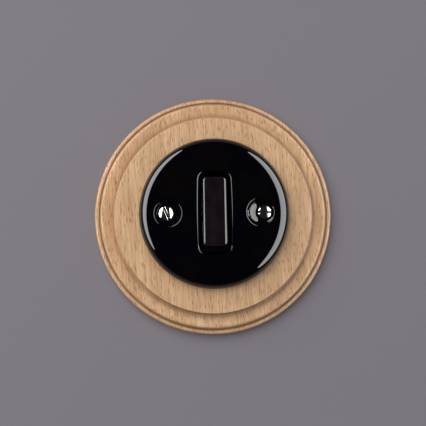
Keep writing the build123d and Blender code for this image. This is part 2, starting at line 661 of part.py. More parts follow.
# Terminals: a clamp block against each leg, with the wire's hole behind and the screw at the side
wire_at = LEG_OUTER + WIRE_INSET
screw_point = wire_at + WIRE_R + TERMINAL_SCREW_OPEN
for end, angle in TERMINALS.items():
    toward = terminal_plane(angle)
    screw_axis = Plane(
        origin=toward.from_local_coords((0, screw_point, CLAMP_MIDDLE)),
        x_dir=toward.x_dir,
        z_dir=toward.y_dir,
    )
    with BuildPart() as terminal_clamp:
        with BuildSketch(toward.offset(-CLAMP_REAR)):
            with Locations((0, (LEG_OUTER + CLAMP_OUTER) / 2)):
                Rectangle(CLAMP_X, CLAMP_DEEP)
        extrude(amount=CLAMP_REAR - CLAMP_FRONT)
        with BuildSketch(toward.offset(-CLAMP_REAR)):
            with Locations((0, wire_at)):
                Circle(WIRE_R)
        extrude(amount=WIRE_DEPTH, mode=Mode.SUBTRACT)
        with BuildSketch(screw_axis.offset(-TERMINAL_SCREW_OPEN - WIRE_R)):
            Circle(TERMINAL_SCREW_R + THREAD_CLEAR)
        extrude(amount=CLAMP_DEEP, mode=Mode.SUBTRACT)
    write(terminal_clamp, f"terminal_clamp_{end}")

    head_at = CLAMP_OUTER + TERMINAL_HEAD_GAP - screw_point
    with BuildPart() as terminal_screw:
        with BuildSketch(screw_axis):
            Circle(TERMINAL_SCREW_R)
        extrude(amount=head_at)
        with BuildSketch(screw_axis.offset(head_at)):
            Circle(TERMINAL_HEAD_R)
        extrude(amount=TERMINAL_HEAD)
        with BuildSketch(screw_axis.offset(head_at + TERMINAL_HEAD)):
            Rectangle(3 * TERMINAL_HEAD_R, TERMINAL_SLOT)
        extrude(amount=-TERMINAL_HEAD / 2, mode=Mode.SUBTRACT)
    write(terminal_screw, f"terminal_screw_{end}")
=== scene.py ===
# %% [markdown]
# # A round light switch in beech and black porcelain
# The object is a flush wall switch: a turned beech surround, a black glazed porcelain cover held by
# two domed screws, and a narrow rocker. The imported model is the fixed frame: it says where each piece
# is and how it moves. This script only gives the pieces their finished surfaces, and every surface is
# worked out with numpy around the places and the overall sizes read off that frame.

# %% The fixed frame
import json
import math

import bmesh
import bpy
import numpy as np
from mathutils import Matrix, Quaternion, Vector


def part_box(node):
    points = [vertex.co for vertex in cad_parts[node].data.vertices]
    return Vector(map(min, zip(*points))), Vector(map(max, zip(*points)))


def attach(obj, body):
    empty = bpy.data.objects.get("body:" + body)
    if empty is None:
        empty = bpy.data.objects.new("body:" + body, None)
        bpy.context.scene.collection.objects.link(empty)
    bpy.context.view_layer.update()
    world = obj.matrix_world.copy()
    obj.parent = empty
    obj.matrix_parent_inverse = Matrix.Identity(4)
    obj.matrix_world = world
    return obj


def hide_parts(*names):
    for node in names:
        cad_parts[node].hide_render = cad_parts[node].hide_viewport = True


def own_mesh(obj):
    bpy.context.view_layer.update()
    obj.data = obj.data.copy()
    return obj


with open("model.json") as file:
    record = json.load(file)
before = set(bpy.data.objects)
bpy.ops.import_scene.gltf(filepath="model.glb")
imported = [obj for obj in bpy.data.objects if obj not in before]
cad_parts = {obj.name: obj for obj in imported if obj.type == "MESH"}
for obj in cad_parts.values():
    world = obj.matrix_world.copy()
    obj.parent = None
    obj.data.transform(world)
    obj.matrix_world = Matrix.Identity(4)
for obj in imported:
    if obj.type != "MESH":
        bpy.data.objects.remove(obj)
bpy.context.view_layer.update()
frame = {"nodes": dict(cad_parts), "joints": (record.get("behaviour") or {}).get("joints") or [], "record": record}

MM = 0.001
print("nodes in the frame:", len(frame["nodes"]))


# %% [markdown]
# ## Sizes
# A piece is drawn in millimetres around the switch's own axis, with "out" as the distance out of the
# wall, and turned into metres at the very end. Overall sizes come from the frame's boxes, so the
# surfaces follow the model. The small ones, such as a fillet or a wall, are the maker's, and each has
# a name in the cell that needs it first.

# %% Sizes read from the frame
def span(node):
    """The lowest and highest corner of a node, in millimetres, as x, out and z."""
    low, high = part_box(node)
    return (low[0] / MM, -high[1] / MM, low[2] / MM), (high[0] / MM, -low[1] / MM, high[2] / MM)


frame_low, frame_high = span("wooden_frame")
FRAME_R = (frame_high[0] - frame_low[0]) / 2
FRAME_X = (frame_high[0] + frame_low[0]) / 2
FRAME_Z = (frame_high[2] + frame_low[2]) / 2
FRAME_OUT = frame_high[1]
cover_low, cover_high = span("ceramic_cover")
COVER_R = (cover_high[0] - cover_low[0]) / 2
COVER_HEIGHT = 13.0
COVER_TOP = FRAME_OUT + COVER_HEIGHT
screws = {}
for side in ("left", "right"):
    low, high = span(f"cover_screw_{side}")
    screws[side] = {"x": (low[0] + high[0]) / 2, "top": high[1]}
    HEAD_R = (high[0] - low[0]) / 2
print("frame radius", round(FRAME_R, 2), "cover radius", round(COVER_R, 2), "screws", screws)


# %% [markdown]
# ## From a grid of points to a mesh
# Each surface is an array of rows of points. Neighbours in the grid make a quad, several grids are
# welded along the edges that they share, and the result is one closed skin. A grid that goes round
# repeats its first column at its end, so the weld closes it without a special case. Edges sharper
# than a fillet stay sharp, and all else is shaded smooth.

# %% Grids, welding and shading
WELD_MM = 0.002
SHARP_DEG = 28.0


def quads(rows, columns, first):
    """The four corner numbers of each cell of a grid, counted row by row from a first number."""
    corner = first + np.arange(rows - 1)[:, None] * columns + np.arange(columns - 1)[None, :]
    return np.stack([corner, corner + 1, corner + columns + 1, corner + columns], axis=-1).reshape(-1, 4)


def welded(name, grids):
    """One closed mesh object from grids of (x, out, z) points in millimetres."""
    faces = []
    first = 0
    for grid in grids:
        faces.append(quads(grid.shape[0], grid.shape[1], first))
        first += grid.shape[0] * grid.shape[1]
    points = np.concatenate([grid.reshape(-1, 3) for grid in grids])
    points = np.stack([points[:, 0], -points[:, 1], points[:, 2]], axis=1) * MM
    mesh = bpy.data.meshes.new(name)
    mesh.from_pydata(points.tolist(), [], np.concatenate(faces).tolist())
    skin = bmesh.new()
    skin.from_mesh(mesh)
    bmesh.ops.remove_doubles(skin, verts=skin.verts, dist=WELD_MM * MM)
    bmesh.ops.dissolve_degenerate(skin, edges=skin.edges, dist=WELD_MM * MM / 10)
    bmesh.ops.recalc_face_normals(skin, faces=skin.faces)
    open_edges = sum(1 for edge in skin.edges if len(edge.link_faces) != 2)
    skin.to_mesh(mesh)
    skin.free()
    shade(mesh)
    piece = bpy.data.objects.new(name, mesh)
    bpy.context.scene.collection.objects.link(piece)
    print(name, "faces", len(mesh.polygons), "open edges", open_edges)
    return piece


def shade(mesh):
    """Smooth shading, with edges over the sharp angle kept sharp."""
    mesh.shade_smooth()
    mesh.set_sharp_from_angle(angle=math.radians(SHARP_DEG))


# %% [markdown]
# ## Curves
# A fillet is an arc, and a turned piece is a profile swept round an axis: at angle a, a profile
# point (r, out) lies at (r cos a, out, r sin a). Both are written once and used for every piece.

# %% Arcs and turned surfaces
def arc(centre, radius, start, stop, steps):
    """Points centre + radius (cos a, sin a), for a from start to stop in degrees."""
    angles = np.radians(np.linspace(start, stop, steps + 1))
    return np.stack([centre[0] + radius * np.cos(angles), centre[1] + radius * np.sin(angles)], axis=1)


def bezier(start, lead, trail, stop, steps):
    """A cubic curve: (1-t)^3 start + 3(1-t)^2 t lead + 3(1-t) t^2 trail + t^3 stop."""
    t = np.linspace(0, 1, steps + 1)[:, None]
    corners = [np.array(point, float) for point in (start, lead, trail, stop)]
    weights = ((1 - t)**3, 3 * (1 - t)**2 * t, 3 * (1 - t) * t**2, t**3)
    return sum(weight * corner for weight, corner in zip(weights, corners))


def turned(profile, steps, centre=(0.0, 0.0)):
    """A profile of (radius, out) swept round an axis through centre (x, z), its first column repeated."""
    angles = np.radians(np.linspace(0, 360, steps + 1))
    angles[-1] = 0.0
    radius = profile[:, 0][:, None]
    out = np.broadcast_to(profile[:, 1][:, None], (len(profile), steps + 1))
    return np.stack([centre[0] + radius * np.cos(angles), out, centre[1] + radius * np.sin(angles)], axis=-1)


print("a quarter of a circle in steps:", arc((0, 0), 1.0, 0, 90, 3).round(2).tolist())


# %% [markdown]
# ## The turned frame
# The surround is one disc of beech, turned on a lathe. From its rim inwards the chisel left a bead,
# a narrow groove beside it, a broad cushion, a cove at the foot of the step, and the flat top that
# the cover stands on. Inside, the bore widens in front of a ledge, where the steel ring lies. It could
# be a sculpted ring or a revolved curve object; here the profile is one closed line and a formula
# turns it, so each of those marks has its real size and stays crisp. Cushion and brow are cubic
# curves, whose leads say how far each one runs level at its ends.

# %% The frame's profile and its surface
BEAD_OUT = 5.2
BEAD_ROUND = 1.6
BACK_CHAMFER = 0.4
QUIRK_R = 62.4
QUIRK_HALF = 0.35
QUIRK_DEPTH = 0.5
QUIRK_LIP = 0.12
QUIRK_WALL = 0.3
CREST_INSET = 2.0
CUSHION_OUT = 7.6
CUSHION_SAG = 0.05
CUSHION_LEADS = (1.3, 1.5)
BROW_LEAD = 1.2
BROW_DROP = 1.0
STEP_R = 53.4
STEP_ROUND = 0.3
COVE_WIDTH = 1.1
COVE_HEIGHT = 2.0
COVE_OUT = 7.0
LEDGE_OUT = 8.0
REBATE_R = 36.0
REBATE_CHAMFER = 0.2
BORE_R = 33.0
AROUND = 480


def frame_profile():
    """The closed outline of the frame's section as (radius, out), from the groove round to the groove."""
    floor = BEAD_OUT - QUIRK_DEPTH
    groove_outer = QUIRK_R + QUIRK_HALF
    groove_inner = QUIRK_R - QUIRK_HALF
    crest = groove_inner - CREST_INSET
    foot = STEP_R + COVE_WIDTH
    rise = CUSHION_OUT - COVE_OUT
    cove = arc((0, 0), 1.0, 180, 270, 14) * (COVE_WIDTH, COVE_HEIGHT) + (foot, COVE_OUT + COVE_HEIGHT)
    after_foot, before_crest = CUSHION_LEADS
    cushion = bezier((foot, COVE_OUT), (foot + after_foot, COVE_OUT),
                     (crest - before_crest, CUSHION_OUT - CUSHION_SAG * rise), (crest, CUSHION_OUT), 12)
    brow = bezier((crest, CUSHION_OUT), (crest + BROW_LEAD, CUSHION_OUT),
                  (groove_inner, CUSHION_OUT - BROW_DROP), (groove_inner, floor + QUIRK_WALL), 16)
    rebate = [(REBATE_R, FRAME_OUT - REBATE_CHAMFER), (REBATE_R + REBATE_CHAMFER, FRAME_OUT)]
    return np.concatenate([
        arc((QUIRK_R, floor + QUIRK_HALF), QUIRK_HALF, 180, 360, 8),
        arc((groove_outer + QUIRK_LIP, BEAD_OUT - QUIRK_LIP), QUIRK_LIP, 180, 90, 4),
        arc((FRAME_R - BEAD_ROUND, BEAD_OUT - BEAD_ROUND), BEAD_ROUND, 90, 0, 14),
        [(FRAME_R, BACK_CHAMFER), (FRAME_R - BACK_CHAMFER, 0)],
        [((FRAME_R + BORE_R) / 2, 0), (BORE_R, 0), (BORE_R, LEDGE_OUT), (REBATE_R, LEDGE_OUT)],
        [*rebate, ((REBATE_R + STEP_R) / 2, FRAME_OUT)],
        arc((STEP_R - STEP_ROUND, FRAME_OUT - STEP_ROUND), STEP_ROUND, 90, 0, 6),
        cove,
        cushion[1:],
        brow[1:],
        [(groove_inner, floor + QUIRK_HALF)],
    ])


beech_frame = welded("beech_frame", [turned(frame_profile(), AROUND, (FRAME_X, FRAME_Z))])
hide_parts("wooden_frame")
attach(beech_frame, "base")


# %% [markdown]
# ## Outlines with round corners
# The slot in the cover and the rocker in it are both rectangles with round corners. Such an outline
# is a loop of corner centres C and outward directions n: at any distance q from the corner's radius,
# its point is C + (corner + q) n. Growing q walks outwards with the corners staying true arcs, which
# is what a rolled lip or a rounded edge needs.

# %% A rounded outline as centres and directions
def rounded_outline(half_x, half_z, corner, across, along, turn):
    """Centres and outward directions of a rounded rectangle, counter-clockwise from the middle of its
    upper right corner. across and along are the steps on the short and long sides, and turn is the
    steps in half a corner. The first point is repeated at the end."""
    cx, cz = half_x - corner, half_z - corner
    centres, angles = [], []
    for quarter, (start, stop, steps) in enumerate((
        ((cx, cz), (-cx, cz), across),
        ((-cx, cz), (-cx, -cz), along),
        ((-cx, -cz), (cx, -cz), across),
        ((cx, -cz), (cx, cz), along),
    )):
        facing = 90.0 * (quarter + 1)
        centres += [np.repeat([start], turn, axis=0), np.linspace(start, stop, steps, endpoint=False)]
        centres += [np.repeat([stop], turn, axis=0)]
        angles += [np.linspace(facing - 45, facing, turn, endpoint=False), np.full(steps, facing)]
        angles += [np.linspace(facing, facing + 45, turn, endpoint=False)]
    centres = np.concatenate(centres)
    angles = np.radians(np.concatenate(angles))
    directions = np.stack([np.cos(angles), np.sin(angles)], axis=1)
    return np.concatenate([centres, centres[:1]]), np.concatenate([directions, directions[:1]])


def lifted(plan, out):
    """Points (x, z) given their distance out of the wall, as (x, out, z)."""
    return np.stack([plan[:, 0], np.broadcast_to(out, len(plan)), plan[:, 1]], axis=1)


print("points round an outline:", len(rounded_outline(2.0, 4.0, 1.0, 4, 8, 3)[0]))


# %% [markdown]
# ## The porcelain cover
# The real cover is pressed from wet clay, fired and glazed, so no edge on it is sharp: the glaze
# runs over a broad shoulder, rolls into the slot and flows down into the two dishes where the screws
# sit. Those soft turns are where the lights show, so they have to be exact. A boolean cut with a
# bevel would leave uneven faces just there. Instead the face is laid out in zones that share their
# edges: one zone round the slot, one round each dish, and a turned shoulder that goes over the rim
# and inside. Every point lies on the dome R - sqrt(R^2 - x^2 - z^2) below its top, less the drop of
# the lip it is on, and the inner skin is made by the same functions.

# %% The dome, and loops that surround an opening
DOME_R = 190.0
WALL = 4.5
SHOULDER_R = 7.5
INNER_ROUND = 3.5
RIM_ROUND = 0.6
SPLIT_DEG = 66.0
CHORD_STEPS = 140
ROUND_STEP = 360 / AROUND
arc_steps = round((180 - 2 * SPLIT_DEG) / ROUND_STEP)
side_steps = round(2 * SPLIT_DEG / ROUND_STEP)


def dome(plan, inset=0.0):
    """How far out the cover's face is at points (x, z), or the skin that lies inset behind it."""
    radius = DOME_R - inset
    return COVER_TOP - inset - radius + np.sqrt(radius**2 - plan[:, 0]**2 - plan[:, 1]**2)


def chord(radius, sign):
    """The straight edge between two zones, from the top to the bottom, at x = sign r cos 66."""
    x = sign * radius * math.cos(math.radians(SPLIT_DEG))
    z = radius * math.sin(math.radians(SPLIT_DEG))
    return np.linspace((x, z), (x, -z), CHORD_STEPS + 1)


def middle_loop(radius):
    """The edge of the zone round the slot: two arcs of the circle joined by two straight edges."""
    top = arc((0, 0), radius, SPLIT_DEG, 180 - SPLIT_DEG, arc_steps)
    return np.concatenate([top[:-1], chord(radius, -1)[:-1], -top[:-1], chord(radius, 1)[::-1]])


def side_loop(radius, sign):
    """The edge of the zone round one dish: an arc of the circle and one straight edge."""
    edge = arc((0, 0), radius, -SPLIT_DEG, SPLIT_DEG, side_steps) * (sign, 1)
    return np.concatenate([edge[:-1], chord(radius, sign)])


def facing_circle(loop, centre, radius):
    """The point of a circle that lies towards each point of the loop round it."""
    away = loop - centre
    return centre + radius * away / np.linalg.norm(away, axis=1)[:, None]


def shares(steps, power):
    """Numbers from 0 to 1, closer together at the start, without the first."""
    return np.linspace(0, 1, steps + 1)[1:]**power


print("the dome drops", round(COVER_TOP - float(dome(np.array([[COVER_R, 0.0]]))[0]), 2), "mm to the rim")


# %% [markdown]
# ## The slot
# The slot's wall slopes, so that the clay came off its die, and the glaze rounds its upper edge. How
# far the wall leans out by the time it meets the dome depends on the dome's height there, which
# depends on how far it leans out. Going back and forth four times settles it. A plain extruded cut
# would give the wall no slope and the lip no even round.

# %% The zone round the slot
SLOT_HALF_X = 7.3
SLOT_HALF_Z = 21.25
SLOT_CORNER = 3.1
SLOT_DRAFT_DEG = 24.0
SLOT_LIP = 1.5
LIP_STEPS = 12
BLEND_STEPS = 12
BACK_STEPS = 8
CROWDING = 1.3
CORNER_STEPS = 16


def skin_radius(outer_r, round_r, inset):
    """Where the dome gives way to the rounded shoulder, with the shoulder's centre as (radius, out)."""
    centre_r = outer_r - round_r
    reach = DOME_R - inset - round_r
    rise = math.sqrt(reach**2 - centre_r**2)
    centre = (centre_r, COVER_TOP - DOME_R + rise)
    angle = math.degrees(math.atan2(rise, centre_r))
    return centre_r + round_r * math.cos(math.radians(angle)), centre, angle


outer_r, outer_centre, outer_angle = skin_radius(COVER_R, SHOULDER_R, 0.0)
inner_r, inner_centre, inner_angle = skin_radius(COVER_R - WALL, INNER_ROUND, WALL)


def between(near, far, inset, fractions):
    """Rows of the dome from one loop to another."""
    rows = []
    for share in fractions:
        plan = (1 - share) * near + share * far
        rows.append(lifted(plan, dome(plan, inset)))
    return rows


def wall_reach(centres, directions, inset):
    """How far outside the slot's outline its sloping wall meets a skin, found by going back and forth."""
    slope = math.tan(math.radians(SLOT_DRAFT_DEG))
    reach = np.zeros(len(centres))
    for _ in range(4):
        plan = centres + (SLOT_CORNER + reach)[:, None] * directions
        reach = (dome(plan, inset) - COVER_TOP + WALL) * slope
    return reach


def slot_zone():
    """From the edge of the inner skin to the slot, up its sloping wall, over its lip and out. At angle a
    the lip lies r sin a inside its edge and r (1 - cos a) below the dome."""
    across = arc_steps - 2 * CORNER_STEPS
    along = CHORD_STEPS - 2 * CORNER_STEPS
    centres, directions = rounded_outline(SLOT_HALF_X, SLOT_HALF_Z, SLOT_CORNER, across, along, CORNER_STEPS)
    foot = centres + (SLOT_CORNER + wall_reach(centres, directions, WALL))[:, None] * directions
    rows = between(foot, middle_loop(inner_r), WALL, shares(BACK_STEPS, CROWDING))[::-1]
    rows.append(lifted(foot, dome(foot, WALL)))
    steepest = math.radians(90 - SLOT_DRAFT_DEG)
    edge = SLOT_CORNER + wall_reach(centres, directions, 0.0) + SLOT_LIP * math.tan(steepest / 2)
    for turn in np.linspace(steepest, 0, LIP_STEPS + 1):
        plan = centres + (edge - SLOT_LIP * math.sin(turn))[:, None] * directions
        rows.append(lifted(plan, dome(plan) - SLOT_LIP * (1 - math.cos(turn))))
    rows += between(plan, middle_loop(outer_r), 0.0, shares(BLEND_STEPS, CROWDING))
    return np.stack(rows)


print("the shoulder starts at radius", round(outer_r, 2), "and the back's round at", round(inner_r, 2))


# %% [markdown]
# ## The dishes
# Each screw sits in a bowl, part of a sphere, and the glaze rounds the bowl's mouth. A ball of radius
# r that rolls in that corner touches dome and bowl at once: its centre stays DOME_R - r from the
# dome's centre and BOWL_R + r from the bowl's, which is a circle round the line through both. The lip
# is the arc between its two touching points. The right-hand bowl was pressed a little to the left of
# its hole, so on that side the room for the screw's head cuts into the bowl as a short steep wall.

# %% The lip of a dish
BOWL_R = 9.4
BOWL_MOUTH_R = 7.7
DISH_LIP = 0.8


def rolled_lip(bowl_x, bowl_out, loop):
    """The rows of the lip from the bowl up to the dome, at the angles in which the loop is seen."""
    across, rise = bowl_x, bowl_out - COVER_TOP + DOME_R
    apart = math.hypot(across, rise)
    axis = np.array([across, rise, 0.0]) / apart
    to_dome, to_bowl = DOME_R - DISH_LIP, BOWL_R + DISH_LIP
    along = (to_dome**2 - to_bowl**2 + apart**2) / (2 * apart)
    dome_centre = np.array([0.0, COVER_TOP - DOME_R, 0.0])
    bowl_centre = np.array([bowl_x, bowl_out, 0.0])
    middle = dome_centre + along * axis
    seen = np.arctan2(loop[:, 1], loop[:, 0] - middle[0])[:, None]
    sideways = np.array([axis[1], -axis[0], 0.0])
    upright = np.array([0.0, 0.0, 1.0])
    ball = middle + math.sqrt(to_dome**2 - along**2) * (np.cos(seen) * sideways + np.sin(seen) * upright)
    up = (ball - dome_centre) / to_dome
    down = (bowl_centre - ball) / to_bowl
    turn = math.acos(float(np.clip((up[0] * down[0]).sum(), -1, 1)))
    return [
        ball + DISH_LIP * (math.sin((1 - share) * turn) * down + math.sin(share * turn) * up) / math.sin(turn)
        for share in np.linspace(0, 1, LIP_STEPS + 1)
    ]


print("a bowl is", round(BOWL_R - math.sqrt(BOWL_R**2 - BOWL_MOUTH_R**2), 2), "mm deep below its mouth")


# %% The zones round the dishes
DISH_SHIFT = {"left": 0.0, "right": -1.6}
HEAD_CLEAR = 0.25
HOLE_R = 2.3
BOSS_R = 7.5
BOSS_THICK = 3.9
HEAD_EDGE_UP = 2.7
FLOOR_RING = 0.96
BOWL_STEPS = 10


def floor_loop(loop, screw_x, bowl_x, floor_r):
    """The edge of the flat floor: the circle of the bowl at the seat, or of the head's room if wider."""
    centre = np.array([screw_x, 0.0])
    towards = (loop - centre) / np.linalg.norm(loop - centre, axis=1)[:, None]
    aside = towards[:, 0] * (screw_x - bowl_x)
    to_bowl = np.sqrt(aside**2 - (screw_x - bowl_x)**2 + floor_r**2) - aside
    return centre + np.maximum(to_bowl, HEAD_R + HEAD_CLEAR)[:, None] * towards


def dish_zone(side, sign):
    """From the inner skin down the boss, up through the screw's hole, over the bowl and its lip and out."""
    screw_x = screws[side]["x"]
    seat_out = screws[side]["top"] - HEAD_EDGE_UP
    bowl_x = screw_x + DISH_SHIFT[side]
    bowl_out = float(dome(np.array([[bowl_x, 0.0]]))[0]) + math.sqrt(BOWL_R**2 - BOWL_MOUTH_R**2)
    outer, inner = side_loop(outer_r, sign), side_loop(inner_r, sign)
    hole, pressed = np.array([screw_x, 0.0]), np.array([bowl_x, 0.0])
    boss = facing_circle(inner, pressed, BOSS_R)
    rows = between(boss, inner, WALL, shares(BACK_STEPS, CROWDING))[::-1]
    rows += [lifted(boss, dome(boss, WALL)), lifted(boss, seat_out - BOSS_THICK)]
    rows.append(lifted(facing_circle(inner, hole, HOLE_R), seat_out - BOSS_THICK))
    rows.append(lifted(facing_circle(outer, hole, HOLE_R), seat_out))
    floor = floor_loop(outer, screw_x, bowl_x, math.sqrt(BOWL_R**2 - (bowl_out - seat_out)**2))
    rows.append(lifted(hole + FLOOR_RING * (floor - hole), seat_out))
    rows.append(lifted(floor, seat_out))
    lip_rows = rolled_lip(bowl_x, bowl_out, outer)
    lip_foot = lip_rows[0][:, [0, 2]]
    for share in np.linspace(0, 1, BOWL_STEPS + 1)[:-1]:
        plan = (1 - share) * floor + share * lip_foot
        depth = np.sqrt(BOWL_R**2 - ((plan - pressed)**2).sum(axis=1))
        rows.append(lifted(plan, np.maximum(bowl_out - depth, seat_out)))
    rows += lip_rows
    rows += between(lip_rows[-1][:, [0, 2]], outer, 0.0, shares(BLEND_STEPS, CROWDING))
    return np.stack(rows)


print("screw holes at x =", round(screws["left"]["x"], 2), "and", round(screws["right"]["x"], 2))


# %% [markdown]
# ## The cover's edge
# Outside the zones the cover is round, so its shoulder, its rim and its inner wall are one turned
# profile. The shoulder's arc starts where it runs on from the dome without a kink, which keeps the long
# crescent of light on it unbroken. Zones and profile share their edge points, and the weld joins them.

# %% The shoulder, the rim and the inner wall
def cover_rim():
    """The turned part of the section, from the dome's edge round the rim to the inner skin's edge."""
    foot = FRAME_OUT + RIM_ROUND
    inner_wall = COVER_R - WALL
    return np.concatenate([
        arc(outer_centre, SHOULDER_R, outer_angle, 0, 28),
        arc((COVER_R - RIM_ROUND, foot), RIM_ROUND, 0, -90, 6),
        [(inner_wall, FRAME_OUT)],
        arc(inner_centre, INNER_ROUND, 0, inner_angle, 8),
    ])


zones = [slot_zone(), dish_zone("right", 1), dish_zone("left", -1), turned(cover_rim(), AROUND)]
porcelain_cover = welded("porcelain_cover", zones)
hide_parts("ceramic_cover")
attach(porcelain_cover, "base")


# %% [markdown]
# ## The rocker
# The rocker is a moulded bar with a flat face and rounded edges, and its top end is pressed in. A
# cube with a bevel would do for the outline, but the face of a moulded bar is never quite flat: it
# is crowned a little, which draws the reflection out into one soft band. The same rounded outline
# carries the rows, from the socket underneath over the wall and the edge to a spine on the face, and
# the whole is drawn level and then tilted about its pivot.

# %% The rocker's surface
ROCKER_HALF_X = 6.6
ROCKER_HALF_Z = 18.8
ROCKER_CORNER = 2.4
ROCKER_EDGE = 2.0
ROCKER_THICK = 5.8
ROCKER_CROWN = 0.12
SOCKET_HALF_X = 4.7
SOCKET_HALF_Z = 6.05
SOCKET_DEPTH = 3.0
SOCKET_CORNER = 0.1
TILT_DEG = 4.5
FACE_REACH = 9.3
SPINE_SHARE = 0.75
OUTLINE_STEPS = (14, 60, 10)
tilt_joint = next(joint for joint in frame["joints"] if joint["name"] == "rocker_tilt")
PIVOT_OUT = -tilt_joint["pos_m"][1] / MM


def tilted(grid):
    """A level grid (x, height over the pivot, length) turned about the pivot, its top end pressed in."""
    turn = math.radians(TILT_DEG)
    height, length = grid[..., 1], grid[..., 2]
    out = PIVOT_OUT + height * math.cos(turn) - length * math.sin(turn)
    return np.stack([grid[..., 0], out, length * math.cos(turn) + height * math.sin(turn)], axis=-1)


def to_spine(loop, half_length, height, fractions, crown):
    """Rows from a loop in to a line along its middle, lowered by crown towards the sides."""
    width = np.abs(loop[:, 0]).max()
    spine = np.stack([np.zeros(len(loop)), np.clip(loop[:, 1], -half_length, half_length)], axis=1)
    rows = []
    for share in fractions:
        plan = (1 - share) * loop + share * spine
        rows.append(lifted(plan, height - crown * (plan[:, 0] / width)**2))
    return rows


def rocker_grid():
    """Rows from the socket's spine out round the bar and in to the spine of its face."""
    centres, directions = rounded_outline(ROCKER_HALF_X, ROCKER_HALF_Z, ROCKER_CORNER, *OUTLINE_STEPS)
    sockets, walls = rounded_outline(SOCKET_HALF_X, SOCKET_HALF_Z, SOCKET_CORNER, *OUTLINE_STEPS)
    socket = sockets + SOCKET_CORNER * walls
    outline = centres + ROCKER_CORNER * directions
    bottom = FACE_REACH - ROCKER_THICK
    face = FACE_REACH - ROCKER_CROWN
    rows = to_spine(socket, SOCKET_HALF_Z / 2, bottom + SOCKET_DEPTH, (1.0, 0.5, 0.0), 0.0)
    rows.append(lifted(socket, bottom))
    rows.append(lifted(outline, bottom))
    for turn in np.linspace(0, math.pi / 2, 11):
        inset = ROCKER_EDGE * (1 - math.cos(turn))
        plan = centres + (ROCKER_CORNER - inset) * directions
        rows.append(lifted(plan, face - ROCKER_EDGE * (1 - math.sin(turn))))
    inner = centres + (ROCKER_CORNER - ROCKER_EDGE) * directions
    spine_half = ROCKER_HALF_Z * SPINE_SHARE
    rows += to_spine(inner, spine_half, face + ROCKER_CROWN, shares(10, 1.0), ROCKER_CROWN)
    return np.stack(rows)


rocker_bar = welded("rocker_bar", [tilted(rocker_grid())])
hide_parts("rocker")
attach(rocker_bar, "rocker")


# %% [markdown]
# ## The cover screws
# Two domed heads, nickel plated, with a milled slot. Head and shank are turned like the frame: a dome
# of height h on a head of radius a is part of a sphere of radius (a^2 + h^2) / 2h.

# %% Turned heads
HEAD_DOME = 2.2
SHANK_R = 2.0
SHANK_LENGTH = 11.8
SHANK_CHAMFER = 0.4
DOMED_R = (HEAD_R**2 + HEAD_DOME**2) / (2 * HEAD_DOME)
print("the heads' dome has radius", round(DOMED_R, 2))


def screw_profile(top):
    """Half of the screw's section from the top of its dome to the end of its shank."""
    lowest = math.degrees(math.acos(HEAD_R / DOMED_R))
    head = arc((0, top - DOMED_R), DOMED_R, 90, lowest, 24)
    head[0, 0] = 0.0
    seat = top - HEAD_EDGE_UP
    end = seat - SHANK_LENGTH
    tip = [(SHANK_R, end + SHANK_CHAMFER), (SHANK_R - SHANK_CHAMFER, end), (0, end)]
    return np.concatenate([head, [(HEAD_R, seat), (SHANK_R, seat)], tip])


# %% [markdown]
# ## The milled slots
# The slot is the one cut that a lathe can't make, so a cutter takes it out. Polishing rounds the slot's
# edges, and those rounds are what shows it from the front, as two thin bright lines. So the cutter
# flares towards the dome's surface: at s along the slot it is as high as the dome, D + sqrt(R^2 - s^2).
# The left screw was left with its slot leaning, the right one nearly level: exactly level, the cutter's
# edges would meet the head's own seam, which the cut doesn't survive.

# %% Slots cut out of the heads
SLOT_WIDTH = 1.0
SLOT_DEPTH = 1.4
SLOT_ROUND = 0.3
CUTTER_REACH = 1.3
CUTTER_OVER = 1.0


def cutter(name, x, top, angle):
    """What the slot takes away: one section per step along the slot, its sides rounded up to the dome."""
    along = np.linspace(-CUTTER_REACH, CUTTER_REACH, 53)[:, None] * HEAD_R
    height = top - DOMED_R + np.sqrt(DOMED_R**2 - np.minimum(np.abs(along), HEAD_R)**2)
    rounding = arc((SLOT_WIDTH / 2 + SLOT_ROUND, -SLOT_ROUND), SLOT_ROUND, 180, 90, 6)
    sides = np.concatenate([rounding, [(rounding[-1, 0], CUTTER_OVER)]])
    across = np.concatenate([sides[:, 0], -sides[::-1, 0]])[None, :]
    rise = height + np.concatenate([sides[:, 1], sides[::-1, 1]])[None, :] - across**2 / (2 * DOMED_R)
    low = np.full(along.shape, top - SLOT_DEPTH)
    across = np.concatenate([[[SLOT_WIDTH / 2]], across, [[-SLOT_WIDTH / 2, SLOT_WIDTH / 2]]], axis=1)
    rise = np.concatenate([low, rise, low, low], axis=1)
    turn = math.radians(angle)
    grid = np.stack([
        x + along * math.cos(turn) - across * math.sin(turn),
        rise,
        along * math.sin(turn) + across * math.cos(turn),
    ], axis=-1)
    first, last = (np.broadcast_to(grid[end].mean(axis=0), grid[end].shape)[None] for end in (0, -1))
    return welded(name, [np.concatenate([first, grid, last])])


def finished(piece):
    """Apply a piece's modifiers, so its mesh is what they show."""
    view = bpy.context.evaluated_depsgraph_get()
    mesh = bpy.data.meshes.new_from_object(piece.evaluated_get(view))
    piece.modifiers.clear()
    piece.data = mesh
    shade(mesh)
    return piece


def cover_screw(side, angle):
    """The screw of one side, with its slot at an angle from level, in degrees."""
    x, top = screws[side]["x"], screws[side]["top"]
    piece = welded(f"screw_{side}", [turned(screw_profile(top), 96, (x, 0.0))])
    tool = cutter(f"slot_cutter_{side}", x, top, angle)
    cut = piece.modifiers.new("slot", "BOOLEAN")
    cut.object = tool
    cut.solver = "EXACT"
    finished(piece)
    bpy.data.objects.remove(tool)
    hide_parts(f"cover_screw_{side}")
    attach(piece, "base")
    return piece


heads = [cover_screw("left", -67.6), cover_screw("right", -2.0)]
print("screw faces", [len(piece.data.polygons) for piece in heads])


